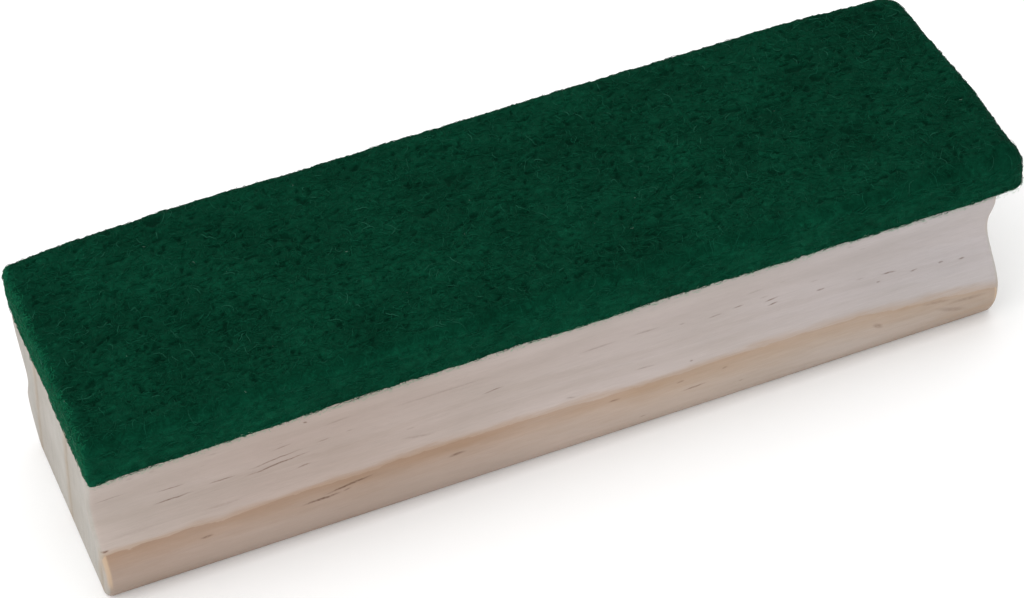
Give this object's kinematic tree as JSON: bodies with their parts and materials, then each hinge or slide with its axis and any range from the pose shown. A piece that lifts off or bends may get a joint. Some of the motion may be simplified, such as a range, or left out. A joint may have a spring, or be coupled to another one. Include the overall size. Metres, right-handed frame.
{
  "type": "chalkboard eraser",
  "caption": "Chalkboard eraser: a pine block with a finger cove along each long side and a thick green felt pad glued to its face.",
  "frame": {"origin": "centre of the flat back of the wood block, the face the eraser stands on", "axes": "+X along the length, towards the end where the felt overhangs; +Y across the width; +Z out of the wiping face of the felt"},
  "size_m": [0.1539, 0.0469, 0.0362],
  "materials": {
    "pine": "bare sanded pine, unvarnished, long straight grain with darker latewood bands and short resin lines",
    "glue": "thin dried amber contact glue",
    "felt": "thick pressed needle felt, dark bottle green, fuzzy surface"
  },
  "bodies": {
    "root": {"wood_handle": "pine", "adhesive_layer": "glue", "felt_pad": "felt"}
  },
  "joints": []
}
